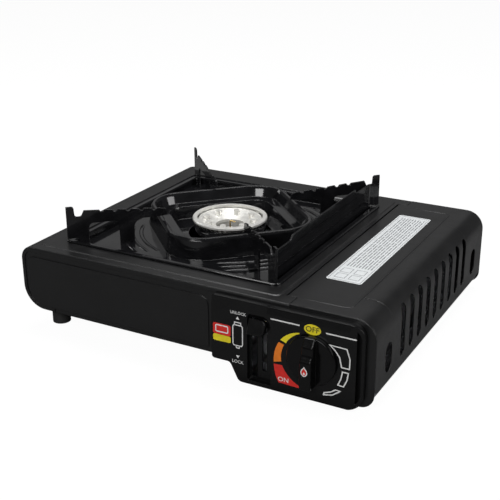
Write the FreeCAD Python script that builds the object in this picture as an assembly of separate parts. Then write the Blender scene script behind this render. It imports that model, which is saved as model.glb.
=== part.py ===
import FreeCAD, Part
import math
import os
from FreeCAD import Vector

# Portable butane cassette stove, in millimetres, +Z up, +X towards the cartridge side.
# The front, with the controls, faces -Y. The origin is on the table under the middle of the stove.

# Overall sizes
BODY_WIDTH = 343.0
BODY_DEPTH = 280.0
DECK_Z = 79.0
BODY_FLOOR_Z = 19.5
BAY_BOTTOM_Z = 4.5
SHEET = 0.8
FIT = 0.2
LOOSE = 0.4

# Folded outline of the body
LEFT_TOP_RADIUS = 12.5
LEFT_BOTTOM_RADIUS = 22.0
COVER_RADIUS = 17.0
BAY_CORNER_RADIUS = 12.0
EDGE_RADIUS = 1.6
WRAP_RETURN = 34.0
FRAME_WIDTH = 4.0
STEP_WIDTH = 8.0
EMBOSS = 0.6
EMBOSS_MARGIN = 14.5
EMBOSS_END_MARGIN = 9.0

# Cartridge cover, bay and hinge
COVER_WIDTH = 81.5
COVER_BOTTOM_Z = 16.3
COVER_FLANGE = 7.0
HINGE_GAP = 1.6
HINGE_INSET = 1.5
HINGE_DROP = 2.2
HINGE_PIN_RADIUS = 1.2
PIN_CLEARANCE = 0.05
EAR_WIDTH = 8.0
EAR_DEPTH = 15.0
VENT_COUNT = 9
VENT_PITCH = 20.0
VENT_WIDTH = 9.6
VENT_BOTTOM_Z = 25.0
VENT_TOP_DROP = 8.0
END_VENT_WIDTH = 13.5
END_VENT_HEIGHT = 25.5
END_VENT_INSET = 29.0
CAN_RADIUS = 33.5
CAN_LENGTH = 186.0
CAN_WALL_GAP = 8.0

# Control panel
BEZEL_WIDTH = 132.0
BEZEL_PROUD = 8.0
BEZEL_WALL = 2.2
BEZEL_TOP_DROP = 2.5
BEZEL_RIGHT_GAP = 7.2
BEZEL_STEP_FROM_LEFT = 18.0
KNOB_FROM_RIGHT = 48.8
KNOB_Z = 40.7
KNOB_RADIUS = 21.0
KNOB_DISC = 3.4
GRIP_PROUD = 14.0
GRIP_WIDTH = 9.6
STEM_RADIUS = 3.0
LEVER_FROM_RIGHT = 97.6
LEVER_Z = 40.0
LEVER_SETBACK = 34.0
LEVER_SWING = 44.0
TAB_WIDTH = 16.6
TAB_HEIGHT = 13.5
TAB_PROUD = 5.5
TAB_THICKNESS = 3.7
CHANNEL_DEPTH = 4.4
CARRIAGE_TRAVEL = 8.0

# Drip tray and pan supports
TRAY_WIDTH = 217.0
TRAY_DEPTH = 226.0
TRAY_GAP = 13.7
TRAY_FRONT_GAP = 24.0
TRAY_LAP = 6.0
TRAY_CORNER = 6.0
TRAY_SINK = 5.5
TRAY_SHEET = 0.8
COLLAR_RISE = 14.0
COLLAR_HALF = 65.5
COLLAR_CORNER = 31.0
LEDGE_DROP = 10.0
WELL_DROP = 22.0
ARM_LENGTH = 96.0
ARM_SHEET = 1.6
ARM_INSET = 1.8
SPIKE_RISE = 33.0
PAN_RISE = 28.5
PAN_SLOPE = 0.065
SHIELD_RISE = 29.0
SHIELD_INSET = 9.5

# Burner
BURNER_RADIUS = 35.3
BURNER_RISE = 8.0
BURNER_RIM = 4.3
BURNER_THROAT = 13.5
PORT_COUNT = 8
PORT_CIRCLE = 22.7
PORT_RADIUS = 2.8
PORT_PHASE = 13.0
TOOTH_COUNT = 12
TRAY_HOLE_GAP = 4.0
MIXER_ANGLE = -40.0
MIXER_RADIUS = 9.0
MIXER_LENGTH = 66.0
PIPE_RADIUS = 3.0

# Feet and return spring
FOOT_RADIUS = 8.3
FOOT_INSET = 22.5
SPRING_RADIUS = 3.6
SPRING_WIRE = 0.9
SPRING_LOOPS = 5

# Places worked out from the sizes above
STAND_OUT = BEZEL_PROUD + GRIP_PROUD
LEFT = -BODY_WIDTH / 2
RIGHT = BODY_WIDTH / 2
FRONT = (STAND_OUT - BODY_DEPTH) / 2
BACK = FRONT + BODY_DEPTH
HINGE_LINE_X = RIGHT - COVER_WIDTH
DECK_RIGHT = HINGE_LINE_X - HINGE_GAP
EAR_RIGHT = HINGE_LINE_X + EAR_WIDTH
HINGE_X = HINGE_LINE_X + HINGE_INSET
HINGE_Z = DECK_Z - HINGE_DROP
PANEL_FRONT = FRONT + SHEET
PANEL_REAR = FRONT + 2 * SHEET
BACK_PANEL_FRONT = BACK - 2 * SHEET
PAN_Z = BAY_BOTTOM_Z + 1.0
PAN_TOP = PAN_Z + SHEET
LEFT_PAN_TOP = BODY_FLOOR_Z + 2 * SHEET
CAN_X = RIGHT - SHEET - CAN_WALL_GAP / 2 - CAN_RADIUS + 0.8
CAN_Z = PAN_TOP + CAN_RADIUS + 2.2
BEZEL_FRONT = FRONT - BEZEL_PROUD
BEZEL_RIGHT = RIGHT - BEZEL_RIGHT_GAP
BEZEL_LEFT = BEZEL_RIGHT - BEZEL_WIDTH
BEZEL_TOP = DECK_Z - BEZEL_TOP_DROP
STEP_X = BEZEL_LEFT + BEZEL_STEP_FROM_LEFT
KNOB_X = RIGHT - KNOB_FROM_RIGHT
LEVER_X = RIGHT - LEVER_FROM_RIGHT
LEVER_Y = FRONT + LEVER_SETBACK
TRAY_X = HINGE_LINE_X - TRAY_GAP - TRAY_WIDTH / 2
TRAY_Y = FRONT + TRAY_FRONT_GAP + TRAY_DEPTH / 2
TRAY_REST_Z = DECK_Z + EMBOSS
TRAY_FLOOR_Z = DECK_Z - TRAY_SINK
COLLAR_Z = DECK_Z + COLLAR_RISE
BURNER_Z = DECK_Z + BURNER_RISE
DIVIDER_X = HINGE_LINE_X - 5.2
REGULATOR_REAR = PANEL_REAR + 26.0


def box(x0, y0, z0, x1, y1, z1):
    return Part.makeBox(x1 - x0, y1 - y0, z1 - z0, Vector(x0, y0, z0))


def rod(start, end, radius):
    run = Vector(*end) - Vector(*start)
    return Part.makeCylinder(radius, run.Length, Vector(*start), run)


def upright(y):
    return lambda u, v: Vector(u, y, v)


def sideways(x):
    return lambda u, v: Vector(x, u, v)


def level(z):
    return lambda u, v: Vector(u, v, z)


def corner_arc(before, corner, after, radius):
    """Start, middle and end of the round at one corner of an outline."""
    back = (before - corner).normalize()
    ahead = (after - corner).normalize()
    half = back.getAngle(ahead) / 2
    if radius <= 0 or half > math.pi / 2 - 1e-6:
        return corner, corner, corner
    reach = radius / math.tan(half)
    inward = (back + ahead).normalize()
    middle = corner + inward * (radius / math.sin(half) - radius)
    return corner + back * reach, middle, corner + ahead * reach


def rounded_loop(corners, place, bevelled=False):
    """Closed wire through corners (u, v, radius), each corner rounded or bevelled."""
    flat = [Vector(u, v, 0) for u, v, radius in corners]
    count = len(corners)
    rounds = []
    for i in range(count):
        rounds.append(corner_arc(flat[i - 1], flat[i], flat[(i + 1) % count], corners[i][2]))
    edges = []
    for i, (start, middle, end) in enumerate(rounds):
        points = [place(p.x, p.y) for p in (start, middle, end)]
        if (start - end).Length > 1e-6 and bevelled:
            edges.append(Part.LineSegment(points[0], points[2]).toShape())
        elif (start - end).Length > 1e-6:
            edges.append(Part.Arc(*points).toShape())
        following = rounds[(i + 1) % count][0]
        if (following - end).Length > 1e-6:
            edges.append(Part.LineSegment(points[2], place(following.x, following.y)).toShape())
    return Part.Wire(edges)


def prism(corners, place, run, bevelled=False):
    """Straight block of an outline, run along a vector."""
    return Part.Face(rounded_loop(corners, place, bevelled)).extrude(Vector(*run))


def offset_path(path, distance):
    """Open path moved to its left by a distance, with its bend radii following."""
    points = [Vector(u, v, 0) for u, v, radius in path]
    runs = [(b - a).normalize() for a, b in zip(points, points[1:])]
    moved = []
    for i, (u, v, radius) in enumerate(path):
        first = runs[max(i - 1, 0)]
        second = runs[min(i, len(runs) - 1)]
        n0 = Vector(-first.y, first.x, 0)
        n1 = Vector(-second.y, second.x, 0)
        shift = (n0 + n1) * (distance / (1 + n0.dot(n1)))
        turn = math.copysign(1, first.cross(second).z)
        kept = max(radius - distance * turn, 0) if radius else 0
        moved.append((u + shift.x, v + shift.y, kept))
    return moved


def bent_sheet(path, thickness):
    """Closed outline of a sheet folded along an open path."""
    return path + offset_path(path, thickness)[::-1]


def spin(profile, x, y):
    """Turned piece about a vertical axis, from (radius, z, bevel) corners."""
    face = Part.Face(rounded_loop(profile, lambda u, v: Vector(x + u, y, v), True))
    return face.revolve(Vector(x, y, 0), Vector(0, 0, 1), 360)


def slot(u, v, width, height, radius=None):
    """Corners of an upright rounded slot centred on (u, v)."""
    r = width / 2 - 0.01 if radius is None else radius
    return rectangle(u - width / 2, v - height / 2, u + width / 2, v + height / 2, r)


def rectangle(x0, y0, x1, y1, radius):
    return [(x0, y0, radius), (x1, y0, radius), (x1, y1, radius), (x0, y1, radius)]


def ring_loft(section, outline):
    """Solid ring whose (offset, z) corners each run round an outline."""
    faces = []
    for (offset, z), (next_offset, next_z) in zip(section, section[1:] + section[:1]):
        wires = [outline(offset, z), outline(next_offset, next_z)]
        if abs(z - next_z) > 1e-6:
            faces += Part.makeLoft(wires, False, True).Faces
        else:
            faces.append(Part.makeFace(wires, "Part::FaceMakerBullseye"))
    shell = Part.makeShell(faces)
    shell.sewShape()
    solid = Part.makeSolid(shell)
    if solid.Volume < 0:
        solid.reverse()
    return solid


def section(centre, way, radius, sides):
    """Many-sided section of a bar, square to its direction."""
    across = Vector(0, 0, 1).cross(way)
    if across.Length < 0.1:
        across = Vector(1, 0, 0)
    across.normalize()
    up = way.cross(across).normalize()
    points = []
    for i in range(sides + 1):
        turn = 2 * math.pi * (i % sides) / sides
        points.append(centre + across * (radius * math.cos(turn)) + up * (radius * math.sin(turn)))
    return Part.makePolygon(points)


def tube(points, radius, bend, sides=8):
    """Bar along straight runs joined by tangent arcs."""
    knots = [Vector(*p) for p in points]
    edges = []
    last = knots[0]
    for before, corner, after in zip(knots, knots[1:], knots[2:]):
        start, middle, end = corner_arc(before, corner, after, bend)
        edges.append(Part.LineSegment(last, start).toShape())
        edges.append(Part.Arc(start, middle, end).toShape())
        last = end
    edges.append(Part.LineSegment(last, knots[-1]).toShape())
    profile = section(knots[0], (knots[1] - knots[0]).normalize(), radius, sides)
    return Part.Wire(edges).makePipeShell([profile], True, False)


def fuse(pieces):
    return pieces[0].multiFuse(pieces[1:]).removeSplitter() if len(pieces) > 1 else pieces[0]


def cut(base, tools):
    return base.cut(Part.makeCompound(tools))


# Folded steel body

def body_outline(offset, right, bottom):
    """Left side and top of the folded body, inset by an offset, closed far to the right and below."""
    return [
        (LEFT + WRAP_RETURN, bottom, 0),
        (LEFT + WRAP_RETURN, BODY_FLOOR_Z + offset, 0),
        (LEFT + offset, BODY_FLOOR_Z + offset, LEFT_BOTTOM_RADIUS - offset),
        (LEFT + offset, DECK_Z - offset, LEFT_TOP_RADIUS - offset),
        (right, DECK_Z - offset, 0),
        (right, bottom, 0),
    ]


def tray_opening():
    half_x = TRAY_WIDTH / 2 - TRAY_LAP
    half_y = TRAY_DEPTH / 2 - TRAY_LAP
    corners = rectangle(TRAY_X - half_x, TRAY_Y - half_y, TRAY_X + half_x, TRAY_Y + half_y, 1.6)
    return prism(corners, level(DECK_Z - 3), (0, 0, 6))


def deck_emboss():
    """Raised field of the deck with a sloping border."""
    sides = []
    for inset, z in ((0.0, DECK_Z), (1.2, DECK_Z + EMBOSS)):
        corners = rectangle(
            LEFT + EMBOSS_MARGIN + inset, FRONT + EMBOSS_END_MARGIN + inset,
            DECK_RIGHT - 3.4 - inset, BACK - EMBOSS_END_MARGIN - inset, 5)
        sides.append(rounded_loop(corners, level(z)))
    return Part.makeLoft(sides, True, True)


def hinge_lug(y, left, right, hole_radius):
    """Down-turned ear round the hinge line."""
    corners = [
        (left, DECK_Z - SHEET, 0), (right, DECK_Z - SHEET, 0),
        (right, HINGE_Z - 4.5, 2), (left, HINGE_Z - 4.5, 2)]
    plate = prism(corners, upright(y), (0, SHEET, 0))
    return plate.cut(rod((HINGE_X, y - 1, HINGE_Z), (HINGE_X, y + SHEET + 1, HINGE_Z), hole_radius))


def top_deck():
    steps = []
    for turn in (0, 35, 65, 90):
        sag = EDGE_RADIUS * (1 - math.sin(math.radians(turn)))
        run = EDGE_RADIUS * (1 - math.cos(math.radians(turn)))
        steps.append((sag, FRONT + run))
    steps += [(sag, BACK + FRONT - y) for sag, y in reversed(steps)]
    outlines = [rounded_loop(body_outline(sag, EAR_RIGHT, BODY_FLOOR_Z - 1), upright(y)) for sag, y in steps]
    outer = Part.makeLoft(outlines, True, True)
    inside = prism(
        body_outline(SHEET, EAR_RIGHT + 5, BODY_FLOOR_Z - 5), upright(FRONT + SHEET),
        (0, BODY_DEPTH - 2 * SHEET, 0))
    window = prism(
        body_outline(FRAME_WIDTH, EAR_RIGHT + 5, BODY_FLOOR_Z - 5), upright(FRONT - 1),
        (0, BODY_DEPTH + 2, 0))
    below = box(
        LEFT + WRAP_RETURN, FRONT - 1, BODY_FLOOR_Z - 3, EAR_RIGHT + 5, BACK + 1, DECK_Z - FRAME_WIDTH)
    right = box(
        DECK_RIGHT, FRONT + EAR_DEPTH, DECK_Z - 9, EAR_RIGHT + 5, BACK - EAR_DEPTH, DECK_Z + 5)
    skirt = box(LEFT - 5, FRONT - 1, BODY_FLOOR_Z - 2, EAR_RIGHT + 5, BACK + 1, BODY_FLOOR_Z)
    shell = cut(outer, [inside, window, below, right, skirt])
    returns = box(
        DECK_RIGHT - SHEET, FRONT + EAR_DEPTH, DECK_Z - 9, DECK_RIGHT, BACK - EAR_DEPTH, DECK_Z - SHEET / 2)
    lugs = [
        hinge_lug(FRONT + EAR_DEPTH - SHEET, DECK_RIGHT - 1, EAR_RIGHT - 1, HINGE_PIN_RADIUS),
        hinge_lug(BACK - EAR_DEPTH, DECK_RIGHT - 1, EAR_RIGHT - 1, HINGE_PIN_RADIUS)]
    return fuse([shell, deck_emboss(), returns] + lugs).cut(tray_opening())


def panel_outline():
    """Outline shared by the front and rear panels."""
    left = LEFT + SHEET + FIT
    top = DECK_Z - SHEET - FIT
    low = BODY_FLOOR_Z + SHEET + FIT
    ear = EAR_RIGHT + FIT
    return [
        (left, low, LEFT_BOTTOM_RADIUS - SHEET - FIT),
        (LEFT + WRAP_RETURN + FIT, low, 0),
        (LEFT + WRAP_RETURN + FIT, BODY_FLOOR_Z, 0),
        (STEP_X, BODY_FLOOR_Z, 4),
        (STEP_X + STEP_WIDTH, BAY_BOTTOM_Z, 5),
        (RIGHT, BAY_BOTTOM_Z, BAY_CORNER_RADIUS),
        (RIGHT, DECK_Z, COVER_RADIUS),
        (ear, DECK_Z, 0),
        (ear, top, 0),
        (left, top, LEFT_TOP_RADIUS - SHEET - FIT),
    ]


def lever_window(y0, y1):
    corners = rectangle(LEVER_X - 9.4, PAN_TOP + 2, LEVER_X + 9.4, LEVER_Z + 26, 2)
    return prism(corners, upright(y0), (0, y1 - y0, 0))


def front_panel():
    plate = prism(panel_outline(), upright(PANEL_FRONT), (0, SHEET, 0))
    left = LEFT + FRAME_WIDTH + 3
    corners = [
        (left, BODY_FLOOR_Z + 4, LEFT_BOTTOM_RADIUS - 7), (BEZEL_LEFT - 7.6, BODY_FLOOR_Z + 4, 3),
        (BEZEL_LEFT - 7.6, DECK_Z - 9, 9), (left, DECK_Z - 9, 8)]
    raised = prism(corners, upright(PANEL_FRONT - 0.9), (0, 1.2, 0))
    shaft = rod((KNOB_X, PANEL_FRONT - 1, KNOB_Z), (KNOB_X, PANEL_REAR + 1, KNOB_Z), 8)
    return cut(fuse([plate, raised]), [lever_window(PANEL_FRONT - 2, PANEL_REAR + 1), shaft])


def rear_panel():
    plate = prism(panel_outline(), upright(BACK_PANEL_FRONT), (0, SHEET, 0))
    slots = []
    for i in range(6):
        x = TRAY_X + (i - 2.5) * 24
        slots.append(prism(slot(x, BODY_FLOOR_Z + 27, 6, 24, 1.8), upright(BACK - 4), (0, 6, 0), True))
    return cut(plate, slots)


def base_pan():
    """Bottom sheet: high under the burner, dropped under the cartridge bay."""
    path = [
        (LEFT + LEFT_BOTTOM_RADIUS, BODY_FLOOR_Z + SHEET, 0), (STEP_X, BODY_FLOOR_Z + SHEET, 4),
        (STEP_X + STEP_WIDTH, PAN_Z, 5), (RIGHT - SHEET - 1, PAN_Z, BAY_CORNER_RADIUS - 2),
        (RIGHT - SHEET - 1, VENT_BOTTOM_Z - 1.5, 0)]
    depth = BACK_PANEL_FRONT - PANEL_REAR
    pan = prism(bent_sheet(path, SHEET), upright(PANEL_REAR), (0, depth, 0))
    holes = []
    for i in range(6):
        turn = math.radians(60 * i)
        x, y = TRAY_X + 62 * math.cos(turn), TRAY_Y + 62 * math.sin(turn)
        holes.append(prism(slot(x, y, 9, 16, 2.6), level(BODY_FLOOR_Z - 1), (0, 0, 5), True))
    wall_x, wall_z = RIGHT - BAY_CORNER_RADIUS, COVER_BOTTOM_Z - 1
    ends = [
        box(wall_x, PANEL_REAR - 1, wall_z, RIGHT, PANEL_REAR + 3, DECK_Z),
        box(wall_x, BACK_PANEL_FRONT - 3, wall_z, RIGHT, BACK_PANEL_FRONT + 1, DECK_Z)]
    return cut(pan, holes + ends)


def bay_divider():
    """Upright heat shield between the burner space and the cartridge bay."""
    path = [
        (DIVIDER_X - 9, PAN_TOP, 0), (DIVIDER_X, PAN_TOP, 1.5), (DIVIDER_X, DECK_Z - SHEET, 1.5),
        (DIVIDER_X - 9, DECK_Z - SHEET, 0)]
    start = FRONT + 69
    sheet = prism(bent_sheet(path, SHEET), upright(start), (0, BACK_PANEL_FRONT - start, 0))
    slots = []
    for i in range(4):
        y = TRAY_Y - 20 + 32 * i
        slots.append(prism(slot(y, CAN_Z, 6, 34, 1.8), sideways(DIVIDER_X - 2), (4, 0, 0), True))
    return cut(sheet, slots)


def foot(x, y, top):
    """Round rubber foot."""
    return rod((x, y, 0), (x, y, top), FOOT_RADIUS)


def foot_places():
    """Centre and seat height of each foot, by name."""
    places = {}
    for name_y, y in (("front", FRONT + FOOT_INSET), ("rear", BACK - FOOT_INSET)):
        places["foot_left_" + name_y] = (LEFT + FOOT_INSET, y, BODY_FLOOR_Z)
        places["foot_right_" + name_y] = (RIGHT - 2 * FOOT_INSET, y, PAN_Z)
    return places


def rear_screws():
    heads = []
    for x, z in ((LEFT + 14, DECK_Z - 16), (LEFT + 40, BODY_FLOOR_Z + 7), (20, BODY_FLOOR_Z + 7),
                 (RIGHT - 60, PAN_TOP + 6), (RIGHT - 20, PAN_TOP + 8)):
        face = Part.Face(section(Vector(x, BACK_PANEL_FRONT + SHEET, z), Vector(0, 1, 0), 2.8, 12))
        heads.append(face.extrude(Vector(0, 0.75, 0)))
    return Part.makeCompound(heads)


# Cartridge cover

def cover_outline(offset, left, bottom):
    return [
        (left, DECK_Z - offset, 0), (RIGHT - offset, DECK_Z - offset, COVER_RADIUS - offset),
        (RIGHT - offset, bottom, 0), (left, bottom, 0)]


def cover_vents():
    cutters = []
    top = DECK_Z - VENT_TOP_DROP
    middle = (VENT_BOTTOM_Z + top) / 2
    centre = (FRONT + BACK) / 2
    for i in range(VENT_COUNT):
        y = centre + (i - (VENT_COUNT - 1) / 2) * VENT_PITCH
        cutters.append(slot(y, middle, VENT_WIDTH, top - VENT_BOTTOM_Z))
    for y in (FRONT + END_VENT_INSET, BACK - END_VENT_INSET):
        cutters.append(slot(y, VENT_BOTTOM_Z + END_VENT_HEIGHT / 2, END_VENT_WIDTH, END_VENT_HEIGHT))
    return [prism(corners, sideways(RIGHT - 12), (20, 0, 0)) for corners in cutters]


def cartridge_cover():
    start = PANEL_REAR + LOOSE
    end = BACK_PANEL_FRONT - LOOSE
    outer = prism(
        cover_outline(0, HINGE_LINE_X, COVER_BOTTOM_Z), upright(start), (0, end - start, 0))
    pad_left = RIGHT - 26.5
    pad_outline = [
        (pad_left, DECK_Z - 1, 0), (pad_left + 1, DECK_Z + EMBOSS, 0),
        (RIGHT, DECK_Z + EMBOSS, COVER_RADIUS + EMBOSS), (RIGHT, DECK_Z - COVER_RADIUS - 4, 0),
        (RIGHT - 6, DECK_Z - COVER_RADIUS - 4, 0)]
    pad = prism(pad_outline, upright(FRONT + 38), (0, BODY_DEPTH - 92, 0))
    hollow = prism(
        cover_outline(SHEET, HINGE_LINE_X - 5, COVER_BOTTOM_Z - 5), upright(start + SHEET),
        (0, end - start - 2 * SHEET, 0))
    mouth = prism(
        cover_outline(SHEET + COVER_FLANGE, HINGE_LINE_X - 5, COVER_BOTTOM_Z - 5), upright(start - 1),
        (0, end - start + 2, 0))
    notches = [
        box(HINGE_LINE_X - 1, start - 1, 0, EAR_RIGHT + LOOSE, FRONT + EAR_DEPTH + LOOSE, DECK_Z + 1),
        box(HINGE_LINE_X - 1, BACK - EAR_DEPTH - LOOSE, 0, EAR_RIGHT + LOOSE, end + 1, DECK_Z + 1)]
    sheet = cut(outer.fuse(pad), [hollow, mouth] + notches + cover_vents())
    bore = HINGE_PIN_RADIUS + PIN_CLEARANCE
    lugs = [
        hinge_lug(FRONT + EAR_DEPTH + 2 * LOOSE, HINGE_LINE_X + 0.2, EAR_RIGHT - 1, bore),
        hinge_lug(BACK - EAR_DEPTH - 2 * LOOSE - SHEET, HINGE_LINE_X + 0.2, EAR_RIGHT - 1, bore)]
    trimmed = fuse([sheet] + lugs)
    side = rectangle(start - 1, COVER_BOTTOM_Z, end + 1, DECK_Z + 60, 7)
    return trimmed.common(prism(side, sideways(HINGE_LINE_X - 5), (COVER_WIDTH + 10, 0, 0)))


def cover_hinge_pins():
    """Two pins, each fixed in a deck lug and running in a cover lug."""
    reach = 2 * LOOSE + 2 * SHEET + 2
    front = rod(
        (HINGE_X, FRONT + EAR_DEPTH - SHEET - 1, HINGE_Z), (HINGE_X, FRONT + EAR_DEPTH + reach, HINGE_Z),
        HINGE_PIN_RADIUS)
    rear = rod(
        (HINGE_X, BACK - EAR_DEPTH + SHEET + 1, HINGE_Z), (HINGE_X, BACK - EAR_DEPTH - reach, HINGE_Z),
        HINGE_PIN_RADIUS)
    return Part.makeCompound([front, rear])


# Control panel

def bezel_outline(offset):
    """Panel outline with the low right part and the S-shaped step on its lower edge."""
    left, right = BEZEL_LEFT + offset, BEZEL_RIGHT - offset
    top, low = BEZEL_TOP - offset, BAY_BOTTOM_Z + offset
    high = BODY_FLOOR_Z + 1 + offset
    step = STEP_X + offset / 2
    return [
        (left, top, 1.5), (left, high, 2.5), (step - 1, high, 4), (step + STEP_WIDTH - 1, low, 5),
        (right, low, 11), (right, top, 11)]


def lever_slots():
    """The two slots that the lever's stems pass through: left and right, (x, width, low, high)."""
    return [(LEVER_X - 4.3, 5.6, 10.0, 63.0), (LEVER_X + 5.0, 4.2, 17.0, 63.0)]


def channel_outline(margin):
    """Outline of the lever's recess, grown by a margin."""
    left, right = LEVER_X - 8.5 - margin, LEVER_X + 12.4 + margin
    low, high = BAY_BOTTOM_Z + 3.5 - margin, LEVER_Z + 27 + margin
    return [(left, low, 1), (right, low, 1), (right, high, 8), (left, high, 3)]


def control_bezel():
    block = prism(bezel_outline(0), upright(BEZEL_FRONT), (0, PANEL_FRONT - BEZEL_FRONT, 0))
    hollow = prism(
        bezel_outline(BEZEL_WALL), upright(BEZEL_FRONT + BEZEL_WALL), (0, PANEL_FRONT - BEZEL_FRONT, 0))
    top_bevel = prism(
        [(BEZEL_FRONT - 1, BEZEL_TOP - 6, 0), (BEZEL_FRONT, BEZEL_TOP - 6, 0),
         (BEZEL_FRONT + 1.6, BEZEL_TOP + 1, 0), (BEZEL_FRONT - 1, BEZEL_TOP + 1, 0)],
        sideways(LEVER_X + 9), (BEZEL_WIDTH, 0, 0))
    deep_bevel = prism(
        [(BEZEL_FRONT - 1, BEZEL_TOP - 15.5, 0), (BEZEL_FRONT, BEZEL_TOP - 15.5, 0),
         (BEZEL_FRONT + 1.9, BEZEL_TOP + 1, 0), (BEZEL_FRONT - 1, BEZEL_TOP + 1, 0)],
        sideways(BEZEL_LEFT - 1), (LEVER_X + 10 - BEZEL_LEFT, 0, 0))
    right_bevel = prism(
        [(BEZEL_RIGHT - 11, BEZEL_FRONT, 0), (BEZEL_RIGHT + 1, BEZEL_FRONT + 5, 0),
         (BEZEL_RIGHT + 1, BEZEL_FRONT - 1, 0), (BEZEL_RIGHT - 11, BEZEL_FRONT - 1, 0)],
        level(0), (0, 0, BEZEL_TOP + 5))
    channel = prism(channel_outline(0), upright(BEZEL_FRONT - 1), (0, CHANNEL_DEPTH + 1, 0))
    backing = prism(channel_outline(1.4), upright(BEZEL_FRONT + 0.5), (0, CHANNEL_DEPTH + 1.1, 0))
    slots = []
    for x, width, low, high in lever_slots():
        corners = rectangle(x - width / 2, low, x + width / 2, high, 0.8)
        slots.append(prism(corners, upright(BEZEL_FRONT - 1), (0, 8, 0)))
    hub = rod((KNOB_X, BEZEL_FRONT - 1, KNOB_Z), (KNOB_X, PANEL_FRONT, KNOB_Z), 8)
    shell = fuse([block.cut(hollow), backing])
    bosses = []
    boss_start = BEZEL_FRONT + BEZEL_WALL - 0.1
    for x, z in ((BEZEL_LEFT + 8, 60), (BEZEL_RIGHT - 14, 16), (BEZEL_RIGHT - 14, 64)):
        boss_outline = slot(x, z, 6, 6, 1.7)
        bosses.append(prism(boss_outline, upright(boss_start), (0, PANEL_FRONT - boss_start, 0), True))
    shell = fuse([shell] + bosses)
    frame_relief = box(
        BEZEL_LEFT - 1, FRONT - FIT, DECK_Z - FRAME_WIDTH - FIT, EAR_RIGHT + FIT, PANEL_FRONT + 1, DECK_Z)
    return cut(shell, [top_bevel, deep_bevel, right_bevel, channel, hub, frame_relief] + slots)


def gas_knob():
    """Knob with a flat round skirt, a full-width grip bar and a scooped nose."""
    face = BEZEL_FRONT - 0.6
    front = BEZEL_FRONT - GRIP_PROUD
    disc = rod((KNOB_X, face, KNOB_Z), (KNOB_X, face - KNOB_DISC, KNOB_Z), KNOB_RADIUS)
    rim = [edge for edge in disc.Edges if abs(edge.BoundBox.YMax - (face - KNOB_DISC)) < 1e-4]
    disc = disc.makeChamfer(0.8, rim)
    half = GRIP_WIDTH / 2
    profile = [
        (face, KNOB_Z - KNOB_RADIUS, 0), (face, KNOB_Z + KNOB_RADIUS - 0.5, 0),
        (face - KNOB_DISC - 1.5, KNOB_Z + KNOB_RADIUS - 0.8, 2),
        (front + 4.2, KNOB_Z + KNOB_RADIUS - 7, 6), (front + 3.2, KNOB_Z + KNOB_RADIUS - 14, 8),
        (front, KNOB_Z + KNOB_RADIUS - 18, 6), (front, KNOB_Z - KNOB_RADIUS - 0.4, 1.5)]
    bar = prism(profile, sideways(KNOB_X - half), (GRIP_WIDTH, 0, 0))
    long_edges = [
        edge for edge in bar.Edges
        if edge.BoundBox.XLength < 1e-6 and edge.BoundBox.YMax < face - KNOB_DISC - 0.5
        and abs(edge.BoundBox.YMin - front) < 0.1 and edge.BoundBox.ZLength > 5]
    bar = bar.makeChamfer(0.8, long_edges)
    hub = rod((KNOB_X, face + 4.5, KNOB_Z), (KNOB_X, face - 1, KNOB_Z), 7.4)
    bore = rod((KNOB_X, face + 5, KNOB_Z), (KNOB_X, face - 5, KNOB_Z), STEM_RADIUS)
    return fuse([disc, bar, hub]).cut(bore)


def valve_stem():
    """Turning spindle of the gas valve, pressed into the knob."""
    return rod((KNOB_X, PANEL_REAR + 14, KNOB_Z), (KNOB_X, BEZEL_FRONT - 5.6, KNOB_Z), STEM_RADIUS)


def swing_lever(shape):
    """Lever pieces are drawn level and then turned up to the unlocked rest place."""
    turned = shape.copy()
    turned.rotate(Vector(LEVER_X, LEVER_Y, LEVER_Z), Vector(1, 0, 0), -LEVER_SWING / 2)
    return turned


def crank_radius():
    return CARRIAGE_TRAVEL / 2 / math.sin(math.radians(LEVER_SWING / 2))


def lock_lever():
    """Steel lever: two stems through the panel, a hub on the pivot pin and a crank arm."""
    reach = BEZEL_FRONT - TAB_PROUD + TAB_THICKNESS
    stems = []
    for (x, _, _, _), thick in zip(lever_slots(), (3.6, 2.6)):
        stems.append(box(x - thick / 2, reach, LEVER_Z - 3.5, x + thick / 2, LEVER_Y, LEVER_Z + 3.5))
    left = lever_slots()[0][0] - 1.8
    right = DIVIDER_X - 1.2
    hub = rod((left, LEVER_Y, LEVER_Z), (right, LEVER_Y, LEVER_Z), 5.2)
    crank_top = LEVER_Z + crank_radius()
    crank = box(right - 2.2, LEVER_Y - 3, LEVER_Z, right, LEVER_Y + 3, crank_top)
    crank_end = rod((right - 2.2, LEVER_Y, crank_top), (right, LEVER_Y, crank_top), 3)
    crank_pin = rod((right - 1, LEVER_Y, crank_top), (right + 5.6, LEVER_Y, crank_top), 2)
    web = box(left + 1, LEVER_Y - 16, LEVER_Z - 3.5, lever_slots()[1][0], LEVER_Y - 13, LEVER_Z + 3.5)
    bore = rod((left - 1, LEVER_Y, LEVER_Z), (right + 1, LEVER_Y, LEVER_Z), 2 + PIN_CLEARANCE)
    return swing_lever(fuse(stems + [hub, crank, crank_end, crank_pin, web]).cut(bore))


def lever_tab():
    """Moulded finger tab over the ends of the two stems."""
    front = BEZEL_FRONT - TAB_PROUD
    left = LEVER_X - 7.6
    corners = [
        (left, LEVER_Z - TAB_HEIGHT / 2, 2), (left + TAB_WIDTH - 2, LEVER_Z - TAB_HEIGHT / 2, 5),
        (left + TAB_WIDTH, LEVER_Z + TAB_HEIGHT / 2, 4), (left, LEVER_Z + TAB_HEIGHT / 2, 1.5)]
    pad = prism(corners, upright(front), (0, TAB_THICKNESS, 0))
    rim = [e for e in pad.Edges if abs(e.BoundBox.YMin - front) + abs(e.BoundBox.YMax - front) < 1e-6]
    return swing_lever(pad.makeChamfer(0.9, rim))


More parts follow.
